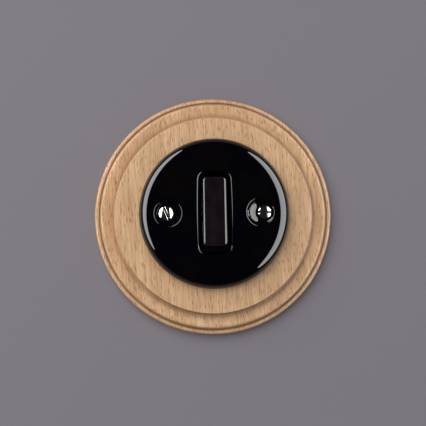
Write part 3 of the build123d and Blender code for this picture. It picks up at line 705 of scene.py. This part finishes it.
# %% [markdown]
# ## The plunger's spring
# Inside the seesaw a small coil spring pushes the plunger against the contact lever; its far end stays
# in the guide, and it has to shorten as the plunger slides in. Here it is a piece of its own, drawn at
# one length and carried with the rocker. The wire's centre line is the helix (r cos a, r sin a, p a / 2 pi),
# and a ring of points stands square to that line at every step, along the outward direction u and the
# cross product of the line's direction t with it.

# %% A coil of wire
WIRE_R = 0.2
COIL_R = 1.35
COIL_TURNS = 6
COIL_NEAR = 2.55
COIL_LENGTH = 6.58
COIL_STEPS = 240
WIRE_STEPS = 12


def coil_grid():
    """Rings of points along a helix below the pivot, on the rocker's tilted axis, with closed ends."""
    angles = np.linspace(0, 2 * math.pi * COIL_TURNS, COIL_STEPS + 1)[:, None]
    ring = np.radians(np.linspace(0, 360, WIRE_STEPS + 1))[None, :]
    rise = COIL_LENGTH / (2 * math.pi * COIL_TURNS)
    norm = math.hypot(COIL_R, rise)
    out_x, out_z = np.cos(angles), np.sin(angles)
    aside = rise * np.sin(ring) / norm
    x = (COIL_R + WIRE_R * np.cos(ring)) * out_x - WIRE_R * aside * out_z
    z = (COIL_R + WIRE_R * np.cos(ring)) * out_z + WIRE_R * aside * out_x
    height = rise * angles - COIL_NEAR - COIL_LENGTH - WIRE_R * COIL_R * np.sin(ring) / norm
    grid = np.stack([x, height, z], axis=-1)
    grid[:, -1] = grid[:, 0]
    first, last = (np.broadcast_to(grid[end, :-1].mean(axis=0), grid[end].shape)[None] for end in (0, -1))
    return np.concatenate([first, grid, last])


plunger_coil = welded("plunger_coil", [tilted(coil_grid())])
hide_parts("plunger_spring")
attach(plunger_coil, "rocker")
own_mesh(plunger_coil)


# %% [markdown]
# ## Building a material
# A material is a small network of nodes. One function adds a node, sets it and links it, and another
# starts a material from its shader. Colours are written as a picture editor shows them, and one
# function turns them to the linear values that light works with.

# %% Nodes and colours
def add(tree, kind, inputs=(), **settings):
    """Add a node, set its own properties, and give its inputs numbers or other nodes' outputs."""
    made = tree.nodes.new(kind)
    for name, value in settings.items():
        setattr(made, name, value)
    for name, value in dict(inputs).items():
        if isinstance(value, bpy.types.NodeSocket):
            tree.links.new(value, made.inputs[name])
        else:
            made.inputs[name].default_value = value
    return made


def colour(code):
    """An sRGB hex colour as the linear red, green, blue and alpha that a shader works with."""
    parts = [int(code[place:place + 2], 16) / 255 for place in (1, 3, 5)]
    linear = [part / 12.92 if part <= 0.04045 else ((part + 0.055) / 1.055)**2.4 for part in parts]
    return (*linear, 1.0)


def material(name, **inputs):
    """A material with one Principled shader, whose inputs are named with underscores for spaces."""
    made = bpy.data.materials.new(name)
    made.use_nodes = True
    made.node_tree.nodes.clear()
    tree = made.node_tree
    values = {key.replace("_", " "): value for key, value in inputs.items()}
    shader = add(tree, "ShaderNodeBsdfPrincipled", values)
    add(tree, "ShaderNodeOutputMaterial", {"Surface": shader.outputs["BSDF"]})
    return made, tree, shader


print("middle grey in a shader:", round(colour("#808080")[0], 3))


# %% [markdown]
# ## Patterns
# Patterns are drawn in millimetres on the object's own coordinates, so they stay on the piece when it
# moves and show the same from every side. An image would need an unwrapped surface and has an edge; a
# formula has neither.

# %% Patterns in millimetres
def millimetres(tree, stretch=(1, 1, 1), lean=0.0):
    """Object coordinates in millimetres, leaned about the y axis and divided by a stretch."""
    place = add(tree, "ShaderNodeTexCoord").outputs["Object"]
    leaned = add(tree, "ShaderNodeMapping", {
        "Vector": place, "Rotation": (0, math.radians(lean), 0), "Scale": (1 / MM,) * 3,
    }).outputs["Vector"]
    return add(tree, "ShaderNodeVectorMath", {0: leaned, 1: stretch}, operation="DIVIDE").outputs["Vector"]


def noise(tree, where, detail=2.0, roughness=0.5):
    """Smooth noise from 0 to 1, one bump for each unit of the coordinates."""
    made = add(tree, "ShaderNodeTexNoise", {
        "Vector": where, "Scale": 1.0, "Detail": detail, "Roughness": roughness,
    })
    return made.outputs["Fac"]


def ranged(tree, value, low, high, to_low=0.0, to_high=1.0):
    """A value between low and high brought to a range, held at its ends."""
    made = add(tree, "ShaderNodeMapRange", {
        "Value": value, "From Min": low, "From Max": high, "To Min": to_low, "To Max": to_high,
    }, interpolation_type="SMOOTHSTEP")
    return made.outputs["Result"]


def mixed(tree, share, first, second):
    """A colour between two colours, by a share from 0 to 1."""
    made = add(tree, "ShaderNodeMix", data_type="RGBA")
    for socket, value in ((0, share), (6, first), (7, second)):
        if isinstance(value, bpy.types.NodeSocket):
            tree.links.new(value, made.inputs[socket])
        else:
            made.inputs[socket].default_value = value
    return made.outputs[2]


def bumped(tree, shader, height, strength, distance_mm):
    """Raise the surface by a height pattern, for light and shade only."""
    made = add(tree, "ShaderNodeBump", {"Height": height, "Strength": strength, "Distance": distance_mm * MM})
    tree.links.new(made.outputs["Normal"], shader.inputs["Normal"])


print("pattern helpers:", [helper.__name__ for helper in (noise, ranged, mixed, bumped)])


# %% [markdown]
# ## Beech
# Beech is a pale, even, slightly pink wood. It has no bold rings: what the eye reads is a soft
# banding along the board, very fine streaks, and above all the short dark dashes of its rays, two to
# four millimetres long. Where the lathe cut across the fibres, at the top and bottom of the curves,
# the end grain drinks more oil and goes darker. The cove and the groove get painted shade: those are
# the places that see less than the full sky, so a measure of that darkens their colour. The grain runs
# upright here and leans a few degrees.

# %% Beech, turned and oiled
GRAIN_LEAN_DEG = 3.5


def beech_material():
    """Bands, streaks and ray flecks in stretched space, and darker end grain by the normal. A stretch is
    the real width and length of one band, streak, pore or fleck in millimetres."""
    made, tree, shader = material("beech, turned and oiled", IOR=1.5)
    lean = GRAIN_LEAN_DEG
    bands = noise(tree, millimetres(tree, (7, 7, 90), lean), 2.0)
    streaks = noise(tree, millimetres(tree, (0.7, 0.7, 18), lean), 3.0, 0.6)
    pores = noise(tree, millimetres(tree, (0.28, 0.28, 1.6), lean), 2.0, 0.6)
    ground = mixed(tree, ranged(tree, bands, 0.3, 0.7), colour("#E8BE91"), colour("#D5AB7E"))
    ground = mixed(tree, ranged(tree, streaks, 0.35, 0.75, 0.0, 0.85), ground, colour("#B2845D"))
    ground = mixed(tree, ranged(tree, pores, 0.55, 0.8, 0.0, 0.35), ground, colour("#A37A58"))
    rays = add(tree, "ShaderNodeTexVoronoi", {
        "Vector": millimetres(tree, (0.8, 0.8, 6.2), lean), "Scale": 1.0,
    })
    fleck = ranged(tree, rays.outputs["Distance"], 0.09, 0.32, 0.9, 0.0)
    ground = mixed(tree, fleck, ground, colour("#7C4C26"))
    facing = add(tree, "ShaderNodeTexCoord").outputs["Normal"]
    along = add(tree, "ShaderNodeVectorMath", {
        0: facing, 1: (-math.sin(math.radians(lean)), 0, math.cos(math.radians(lean))),
    }, operation="DOT_PRODUCT").outputs["Value"]
    end_grain = add(tree, "ShaderNodeMath", {0: along}, operation="ABSOLUTE").outputs["Value"]
    end_grain = ranged(tree, end_grain, 0.35, 1.0, 0.0, 0.6)
    ground = mixed(tree, end_grain, ground, colour("#8C6341"))
    # Painted shade: the colour goes to dark brown where the occlusion measure sees less than the open sky, in the
    # cove and the groove.
    open_sky = add(tree, "ShaderNodeAmbientOcclusion", {"Distance": 4 * MM}, samples=8, only_local=True)
    painted_hollow_shade = ranged(tree, open_sky.outputs["AO"], 0.6, 0.98, 0.6, 0.0)
    ground = mixed(tree, painted_hollow_shade, ground, colour("#775236"))
    tree.links.new(ground, shader.inputs["Base Color"])
    tree.links.new(ranged(tree, streaks, 0.3, 0.7, 0.42, 0.55), shader.inputs["Roughness"])
    relief = add(tree, "ShaderNodeMath", {0: streaks, 1: fleck}, operation="SUBTRACT").outputs["Value"]
    bumped(tree, shader, relief, 0.35, 0.05)
    return made


beech_frame.data.materials.append(beech_material())
print("beech done")


# %% [markdown]
# ## Black glaze and black resin
# The glaze is a thick glass over black clay: almost no colour of its own, a very smooth skin, and a
# faint unevenness from the firing that bends a long reflection slightly. The rocker is a polished
# thermoset: also black, but softer, so its reflections are wider and it looks a shade lighter.

# %% Glazed porcelain, and polished thermoset
def glaze_material():
    """Smooth dark glass with slow waves of a few hundredths of a millimetre, and thin brown tints."""
    made, tree, shader = material("porcelain, black glaze", Roughness=0.03, IOR=1.5)
    waves = noise(tree, millimetres(tree, (11, 11, 11)), 1.0)
    tint = noise(tree, millimetres(tree, (16, 16, 16)), 2.0)
    body = mixed(tree, ranged(tree, tint, 0.45, 0.75), colour("#030308"), colour("#090405"))
    tree.links.new(body, shader.inputs["Base Color"])
    bumped(tree, shader, waves, 0.25, 0.06)
    return made


def thermoset_material():
    """A moulded black resin with a soft polish and the finest orange peel."""
    made, tree, shader = material("thermoset, moulded and polished", IOR=1.55)
    peel = noise(tree, millimetres(tree, (0.8, 0.8, 0.8)), 2.0)
    cloud = noise(tree, millimetres(tree, (5, 5, 12)), 2.0)
    body = mixed(tree, ranged(tree, cloud, 0.35, 0.7), colour("#130D13"), colour("#1C141B"))
    tree.links.new(body, shader.inputs["Base Color"])
    tree.links.new(ranged(tree, cloud, 0.3, 0.7, 0.07, 0.11), shader.inputs["Roughness"])
    bumped(tree, shader, peel, 0.08, 0.02)
    return made


porcelain_cover.data.materials.append(glaze_material())
rocker_bar.data.materials.append(thermoset_material())
print("glaze and thermoset done")


# %% [markdown]
# ## Metals
# Nickel plate is bright and faintly warm. The parts behind the cover are zinc-plated steel, turned
# and stamped brass, and silver contact facings. Each metal is the same network with its own colour,
# roughness and direction of finish: fine lines from a lathe or a roll, drawn coarser than they are.

# %% Plated, turned and stamped metals
def metal_material(name, base, shadow, roughness, grit, strength=0.1):
    """A metal with a cloudy tone and a fine relief whose grit is given in millimetres."""
    made, tree, shader = material(name, Metallic=1.0)
    cloud = noise(tree, millimetres(tree, (4, 4, 4)), 3.0)
    lines = noise(tree, millimetres(tree, grit), 2.0)
    body = mixed(tree, ranged(tree, cloud, 0.35, 0.7), colour(base), colour(shadow))
    tree.links.new(body, shader.inputs["Base Color"])
    finish = ranged(tree, lines, 0.3, 0.7, roughness * 0.8, roughness * 1.25)
    tree.links.new(finish, shader.inputs["Roughness"])
    bumped(tree, shader, lines, strength, 0.01)
    return made


def resin_material(name, base, shadow, roughness):
    """A moulded resin with a slightly mottled tone and a matt, finely grained skin."""
    made, tree, shader = material(name, IOR=1.5)
    cloud = noise(tree, millimetres(tree, (6, 6, 6)), 3.0)
    grain = noise(tree, millimetres(tree, (0.35, 0.35, 0.35)), 2.0)
    body = mixed(tree, ranged(tree, cloud, 0.35, 0.7), colour(base), colour(shadow))
    tree.links.new(body, shader.inputs["Base Color"])
    finish = ranged(tree, grain, 0.3, 0.7, roughness * 0.85, roughness * 1.15)
    tree.links.new(finish, shader.inputs["Roughness"])
    bumped(tree, shader, grain, 0.15, 0.03)
    return made


# The grit of nickel is the polish left under the plate, and a stamped strip keeps its rolling lines.
slot_materials = {
    "nickel": metal_material("nickel plate, polished", "#DBD8D4", "#C9C5C1", 0.13, (0.5, 0.5, 0.5), 0.03),
    "steel": metal_material("steel, turned and zinc plated", "#BDBEC1", "#9FA0A2", 0.3, (0.3, 0.3, 0.3)),
    "spring_steel": metal_material("spring wire, drawn", "#8E8F93", "#77787D", 0.35, (0.2, 0.2, 0.2)),
    "brass": metal_material("brass, turned", "#D2AE62", "#B08A45", 0.28, (0.3, 0.3, 0.3)),
    "contact_brass": metal_material("brass strip, stamped", "#C9A066", "#A97C48", 0.32, (0.25, 3, 3)),
    "silver": metal_material("silver facing", "#E1DFDA", "#C4C1BA", 0.25, (0.3, 0.3, 0.3)),
    # The black of the ring's steel and of the yoke's resin is painted shade: it stands in for the shade deep in
    # the slot's gap, where these parts are seen.
    "black_steel": resin_material("steel, black for painted shade", "#201F20", "#181718", 0.6),
    "nylon": resin_material("nylon, moulded", "#2A2A2C", "#222224", 0.5),
    "base_resin": resin_material("resin, ivory, moulded", "#D6CFBF", "#C9C1AE", 0.48),
    "yoke_resin": resin_material("resin, black for painted shade", "#1C1A19", "#141312", 0.55),
}
for piece in heads:
    piece.data.materials.append(slot_materials["nickel"])
plunger_coil.data.materials.append(slot_materials["spring_steel"])
shown = {row["node"]: row["material_slot"] for row in frame["record"]["subparts"]}
for node, finish in shown.items():
    if finish in slot_materials:
        for place in frame["nodes"][node].material_slots:
            place.material = slot_materials[finish]
print("carried-over nodes finished:", sum(finish in slot_materials for finish in shown.values()))


# %% [markdown]
# ## The stage
# A plain wall, flush with the frame's back. It is clear from behind and open behind the frame, where
# the box would be, so that the mechanism can be looked at from the back as well, where lamps of its
# own light it.

# %% A wall that is clear from behind
WALL_GREY = "#87838A"
WALL_R = 4000.0
WALL_LAP = 0.3
WALL_BACK = 0.2


def wall_material():
    """Matt grey towards the room, and clear from behind."""
    made = bpy.data.materials.new("wall, matt grey")
    made.use_nodes = True
    tree = made.node_tree
    tree.nodes.clear()
    matt = add(tree, "ShaderNodeBsdfDiffuse", {"Color": colour(WALL_GREY)})
    clear = add(tree, "ShaderNodeBsdfTransparent")
    behind = add(tree, "ShaderNodeNewGeometry").outputs["Backfacing"]
    both = add(tree, "ShaderNodeMixShader", {
        "Fac": behind, 1: matt.outputs["BSDF"], 2: clear.outputs["BSDF"],
    })
    add(tree, "ShaderNodeOutputMaterial", {"Surface": both.outputs["Shader"]})
    return made


def flat_ring(name, outer_r, inner_r, out):
    """A flat ring round the frame's axis that faces the room, from its outer to its inner radius."""
    grid = turned(np.array([(outer_r, out), (inner_r, out)]), 96, (FRAME_X, FRAME_Z))
    points = np.stack([grid[..., 0], -grid[..., 1], grid[..., 2]], axis=-1).reshape(-1, 3) * MM
    mesh = bpy.data.meshes.new(name)
    mesh.from_pydata(points.tolist(), [], quads(2, 97, 0).tolist())
    ring = bpy.data.objects.new(name, mesh)
    bpy.context.scene.collection.objects.link(ring)
    return ring


wall = flat_ring("wall", WALL_R, FRAME_R - WALL_LAP, -WALL_BACK)
wall.data.materials.append(wall_material())
print("wall radius", WALL_R * MM, "m")


# %% [markdown]
# ## Camera
# The photograph was taken nearly square on, from a little below and left, with a longish lens. The
# picture is 235 mm wide at the frame's rim, which with the distance gives the lens.

# %% Where the camera stands
AZIMUTH_DEG = -1.9
ELEVATION_DEG = -3.3
DISTANCE = 0.66
PICTURE_WIDTH = 0.2346
SENSOR_MM = 36.0
AIM = Vector((FRAME_X - 0.1, -BEAD_OUT, FRAME_Z + 1.7)) * MM
ROLL_DEG = -0.9

azimuth, elevation = math.radians(AZIMUTH_DEG), math.radians(ELEVATION_DEG)
toward = Vector((
    math.sin(azimuth) * math.cos(elevation), -math.cos(azimuth) * math.cos(elevation), math.sin(elevation),
))
camera = bpy.data.objects.new("camera", bpy.data.cameras.new("camera"))
bpy.context.scene.collection.objects.link(camera)
camera.location = AIM + toward * DISTANCE
camera.rotation_mode = "QUATERNION"
looking = (-toward).to_track_quat("-Z", "Y")
camera.rotation_quaternion = looking @ Quaternion((0, 0, 1), math.radians(ROLL_DEG))
camera.data.sensor_width = SENSOR_MM
camera.data.lens = SENSOR_MM * DISTANCE / PICTURE_WIDTH
camera.data.clip_start = 0.01
bpy.context.scene.camera = camera
print("lens", round(camera.data.lens, 1))


# %% [markdown]
# ## Light
# Two sets of lamps do two jobs, as with a polarising filter on half of the lights. What the black
# glaze shows is the lamps themselves, so their shapes matter more than their strength: one tall oval
# panel on each side draws the crescent on the cover's shoulder, and the space behind the camera stays
# dark, so that the face stays black. The matt beech and the wall are lit by a broad fill from the
# front, a little from above and left, and by a faint one on each side, which the glaze doesn't mirror.
# Two lamps behind the wall light the mechanism. Each lamp's energy is worked out from the radiance
# wanted, as radiance times pi times area.

# %% Softboxes and the room
def softbox(name, place, target, width, height, radiance, shape="RECTANGLE", matt=True, mirrored=True):
    """A flat lamp that faces a target, its energy from its radiance and area. It can be kept from
    lighting matt surfaces, or from being mirrored in glossy ones."""
    lamp = bpy.data.lights.new(name, "AREA")
    lamp.shape = shape
    lamp.size, lamp.size_y = width, height
    area = width * height * (math.pi / 4 if shape == "ELLIPSE" else 1.0)
    lamp.energy = radiance * math.pi * area
    holder = bpy.data.objects.new(name, lamp)
    bpy.context.scene.collection.objects.link(holder)
    holder.location = place
    holder.rotation_mode = "QUATERNION"
    holder.rotation_quaternion = (Vector(target) - Vector(place)).to_track_quat("-Z", "Y")
    holder.visible_diffuse = matt
    holder.visible_glossy = mirrored
    return holder


mirrored_only = {"shape": "ELLIPSE", "matt": False}
softbox("panel_left", (-0.62, -0.22, 0.28), (0, 0, 0.1), 0.45, 1.5, 7.0, **mirrored_only)
softbox("panel_right", (0.72, -0.37, 0.08), (0, 0, 0), 0.76, 2.0, 6.4, **mirrored_only)
softbox("side_left", (-0.75, -0.4, 0.2), (0, 0, 0), 0.6, 0.9, 0.1, mirrored=False)
softbox("side_right", (0.75, -0.45, 0.1), (0, 0, 0), 0.6, 0.9, 0.15, mirrored=False)
softbox("front_fill", (-0.82, -1.42, 0.75), (0, 0, 0), 2.2, 2.2, 2.15, mirrored=False)
softbox("back_lamp", (0.5, 0.9, 0.7), (0, 0, 0), 0.8, 0.8, 3.5)
softbox("back_fill", (-0.7, 0.8, -0.1), (0, 0, 0), 0.8, 0.8, 1.5)


# %% [markdown]
# ## The room
# The rest of the room is the world. Matt surfaces get an even fill from it. In front of the wall it is
# nearly black where it is mirrored, as in a studio hung with black cloth, and behind the wall's plane
# it is as grey as the wall, so that the metals at the back have something to show.

# %% The room as the world
DARK_ROOM = 0.015
MATT_FILL = 0.3
room = bpy.data.worlds.new("room")
bpy.context.scene.world = room
room.use_nodes = True
sky = room.node_tree
sky.nodes.clear()
ray = add(sky, "ShaderNodeLightPath").outputs
heading = add(sky, "ShaderNodeTexCoord").outputs["Generated"]
rearward = add(sky, "ShaderNodeSeparateXYZ", {0: heading}).outputs["Y"]
behind = add(sky, "ShaderNodeMath", {0: rearward, 1: 0.0}, operation="GREATER_THAN").outputs["Value"]
seen = ray["Is Camera Ray"]
grey = add(sky, "ShaderNodeMath", {0: behind, 1: seen}, operation="MAXIMUM").outputs["Value"]
tone = mixed(sky, grey, (DARK_ROOM, DARK_ROOM, DARK_ROOM, 1.0), colour(WALL_GREY))
tone = mixed(sky, ray["Is Diffuse Ray"], tone, (MATT_FILL, MATT_FILL, MATT_FILL, 1.0))
backdrop = add(sky, "ShaderNodeBackground", {"Color": tone, "Strength": 1.0})
add(sky, "ShaderNodeOutputWorld", {"Surface": backdrop.outputs["Background"]})
bpy.context.scene.view_settings.view_transform = "Standard"
